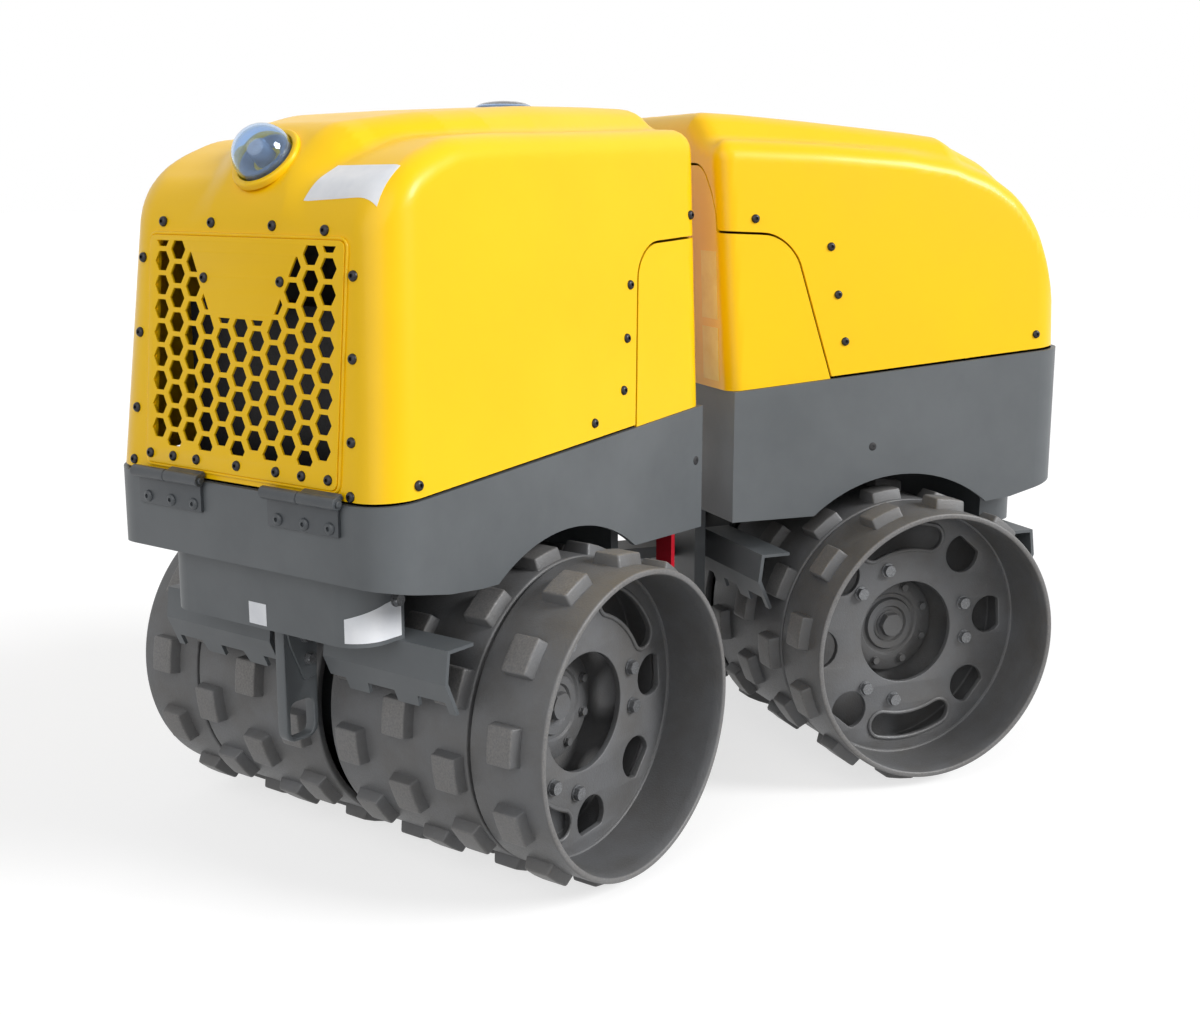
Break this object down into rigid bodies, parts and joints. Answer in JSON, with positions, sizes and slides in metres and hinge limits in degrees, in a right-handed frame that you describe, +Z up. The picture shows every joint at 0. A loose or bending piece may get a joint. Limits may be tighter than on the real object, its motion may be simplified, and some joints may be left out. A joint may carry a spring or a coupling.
{
  "type": "trench roller",
  "caption": "Articulated walk-alongside trench roller with padfoot drums and drum extensions, tilting hoods over a plate chassis and a steering centre joint.",
  "frame": {"origin": "centre of the bounding box at floor level, in the steered pose of the picture", "axes": "+X forward along the front half towards the grille, +Y to the left side, +Z up"},
  "size_m": [1.6288, 1.1146, 1.1292],
  "materials": {
    "hood_yellow": "satin",
    "chassis_grey": "satin",
    "drum_steel": "satin",
    "clear_dome": "gloss",
    "red_paint": "satin",
    "engine_casting": "matte",
    "cooler_aluminium": "matte",
    "pin_steel": "satin"
  },
  "bodies": {
    "front_frame": {"front_chassis": "chassis_grey", "front_end_box": "chassis_grey", "front_drum_carrier": "chassis_grey", "front_joint_mount": "chassis_grey", "front_joint_panel": "hood_yellow", "front_hinge_lower": "chassis_grey", "front_scrapers": "chassis_grey", "front_tow_lug": "chassis_grey", "engine_block": "engine_casting", "cooler": "cooler_aluminium", "lock_bar": "red_paint"},
    "front_drums": {"front_drum_left": "drum_steel", "front_drum_right": "drum_steel", "front_drum_extension_left": "drum_steel", "front_drum_extension_right": "drum_steel", "front_axle": "chassis_grey"},
    "front_hood": {"front_hood": "hood_yellow", "front_grille": "hood_yellow", "front_dome": "clear_dome", "top_dome": "clear_dome", "front_hinge_upper": "chassis_grey"},
    "centre_yoke": {"centre_yoke": "chassis_grey", "steering_arm_pin": "pin_steel"},
    "rear_frame": {"rear_chassis": "chassis_grey", "rear_end_box": "chassis_grey", "rear_drum_carrier": "chassis_grey", "rear_fork": "chassis_grey", "pivot_pin": "pin_steel", "rear_joint_panel": "hood_yellow", "rear_hinge_lower": "chassis_grey", "rear_scrapers": "chassis_grey", "rear_tow_lug": "chassis_grey", "hydraulic_block": "engine_casting", "steering_cylinder_pin": "pin_steel"},
    "rear_drums": {"rear_drum_left": "drum_steel", "rear_drum_right": "drum_steel", "rear_drum_extension_left": "drum_steel", "rear_drum_extension_right": "drum_steel", "rear_axle": "chassis_grey"},
    "rear_hood": {"rear_hood": "hood_yellow", "rear_hinge_upper": "chassis_grey"},
    "cylinder_barrel": {"steering_cylinder_barrel": "chassis_grey"},
    "cylinder_rod": {"steering_cylinder_rod": "pin_steel"}
  },
  "joints": [
    {"name": "front_drums_spin", "type": "hinge", "parent": "front_frame", "child": "front_drums", "pos_m": [0.42461, -0.14732, 0.24577], "axis": [0, 1, 0], "continuous": true},
    {"name": "rear_drums_spin", "type": "hinge", "parent": "rear_frame", "child": "rear_drums", "pos_m": [-0.40507, 0.08902, 0.24577], "axis": [0.527, 0.8499, 0], "continuous": true},
    {"name": "centre_roll", "type": "hinge", "parent": "front_frame", "child": "centre_yoke", "pos_m": [0.05611, -0.14732, 0.29577], "axis": [1, 0, 0], "range_deg": [-6, 6]},
    {"name": "steering", "type": "hinge", "parent": "centre_yoke", "child": "rear_frame", "pos_m": [-0.02389, -0.14732, 0.29577], "axis": [0, 0, 1], "range_deg": [0, 63.6]},
    {"name": "front_hood_tilt", "type": "hinge", "parent": "front_frame", "child": "front_hood", "pos_m": [0.80541, -0.14732, 0.60577], "axis": [0, 1, 0], "range_deg": [0, 70]},
    {"name": "rear_hood_tilt", "type": "hinge", "parent": "rear_frame", "child": "rear_hood", "pos_m": [-0.69386, 0.26808, 0.72477], "axis": [-0.527, -0.8499, 0], "range_deg": [0, 70]},
    {"name": "cylinder_swing", "type": "hinge", "parent": "rear_frame", "child": "cylinder_barrel", "pos_m": [-0.24878, -0.10201, 0.42977], "axis": [0, 0, 1], "range_deg": [-1.3, 0]},
    {"name": "cylinder_slide", "type": "slide", "parent": "cylinder_barrel", "child": "cylinder_rod", "axis": [0.8735, -0.4867, 0], "range_m": [-0.08458, 0]}
  ],
  "couplings": [
    {"joint": "cylinder_swing", "follows": "steering", "ratio": -0.019654},
    {"joint": "cylinder_slide", "follows": "steering", "m_per_rad": -0.075833}
  ]
}
